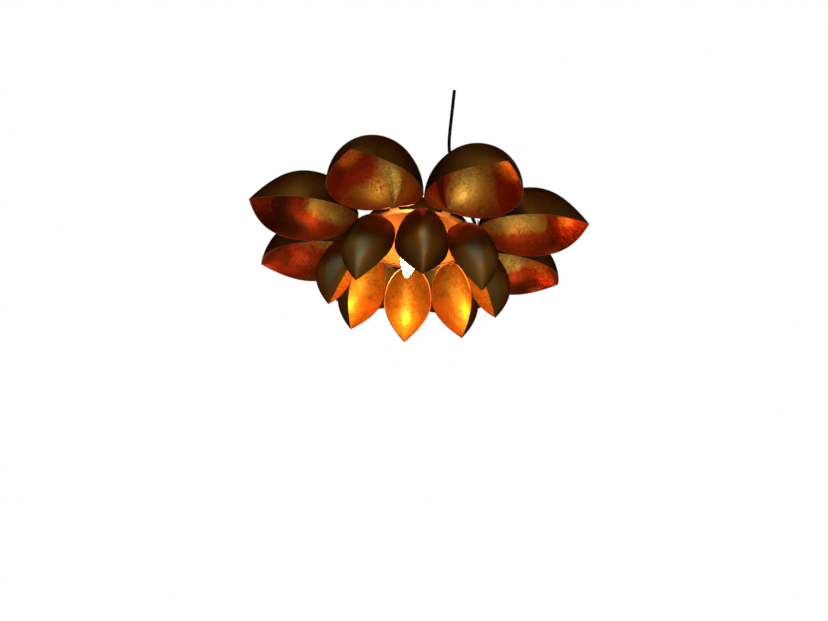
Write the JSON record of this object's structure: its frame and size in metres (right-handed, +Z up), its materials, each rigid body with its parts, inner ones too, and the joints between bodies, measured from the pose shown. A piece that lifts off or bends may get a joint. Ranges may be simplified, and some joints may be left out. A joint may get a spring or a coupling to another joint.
{
  "type": "pendant lamp",
  "caption": "Pendant lamp shaped as an open flower: large arched metal petals round a domed dish, small petals hanging below, and a candle bulb in the middle.",
  "frame": {"origin": "the place inside the hanging loop that bears on its hook, straight above the dish's middle", "axes": "+Z up along the stem and out of the dish's crown; the picture looks along +Y from below, with +X to its right"},
  "size_m": [0.6132, 0.6132, 0.5355],
  "materials": {
    "bronze": "satin bronze outside, gold leaf inside",
    "dark_steel": "satin",
    "zinc": "zinc plated",
    "brass": "bright",
    "black_plastic": "matte",
    "porcelain": "glazed, opaque",
    "opal_glass": "opal",
    "lead_brown": "matte",
    "lead_blue": "matte",
    "lead_green": "matte",
    "cord_black": "matte"
  },
  "bodies": {
    "lamp": {"carrier_ring": "dark_steel", "dish": "bronze", "outer_petal_1": "bronze", "outer_petal_rivet_1": "dark_steel", "inner_petal_1": "bronze", "inner_petal_rivet_1": "dark_steel", "outer_petal_2": "bronze", "outer_petal_rivet_2": "dark_steel", "inner_petal_2": "bronze", "inner_petal_rivet_2": "dark_steel", "outer_petal_3": "bronze", "outer_petal_rivet_3": "dark_steel", "inner_petal_3": "bronze", "inner_petal_rivet_3": "dark_steel", "outer_petal_4": "bronze", "outer_petal_rivet_4": "dark_steel", "inner_petal_4": "bronze", "inner_petal_rivet_4": "dark_steel", "outer_petal_5": "bronze", "outer_petal_rivet_5": "dark_steel", "inner_petal_5": "bronze", "inner_petal_rivet_5": "dark_steel", "outer_petal_6": "bronze", "outer_petal_rivet_6": "dark_steel", "inner_petal_6": "bronze", "inner_petal_rivet_6": "dark_steel", "outer_petal_7": "bronze", "outer_petal_rivet_7": "dark_steel", "inner_petal_7": "bronze", "inner_petal_rivet_7": "dark_steel", "outer_petal_8": "bronze", "outer_petal_rivet_8": "dark_steel", "inner_petal_8": "bronze", "inner_petal_rivet_8": "dark_steel", "stem": "zinc", "top_nut": "zinc", "lock_nut": "zinc", "hanging_loop": "zinc", "holder_bracket": "zinc", "holder_nipple": "zinc", "holder_nut": "zinc", "earth_screw": "brass", "holder_cap": "black_plastic", "holder_shell": "black_plastic", "holder_insert": "porcelain", "holder_thread": "brass", "holder_contact": "brass", "cord_gland": "black_plastic", "gland_nut": "black_plastic", "live_lead": "lead_brown", "neutral_lead": "lead_blue", "earth_lead": "lead_green", "cord": "cord_black"},
    "bulb_tip": {"bulb_contact": "brass"},
    "bulb": {"bulb_cap": "brass", "bulb_glass": "opal_glass", "bulb_stem": "opal_glass"}
  },
  "joints": [
    {"name": "bulb_slide", "type": "slide", "parent": "lamp", "child": "bulb_tip", "axis": [-0.1219, 0, -0.9925], "range_m": [0, 0.01269]},
    {"name": "bulb_turn", "type": "hinge", "parent": "bulb_tip", "child": "bulb", "pos_m": [0, 0, -0.0657], "axis": [-0.1219, 0, -0.9925], "range_deg": [0, 1620]}
  ],
  "couplings": [
    {"joint": "bulb_slide", "follows": "bulb_turn", "m_per_rad": 0.00044882}
  ]
}
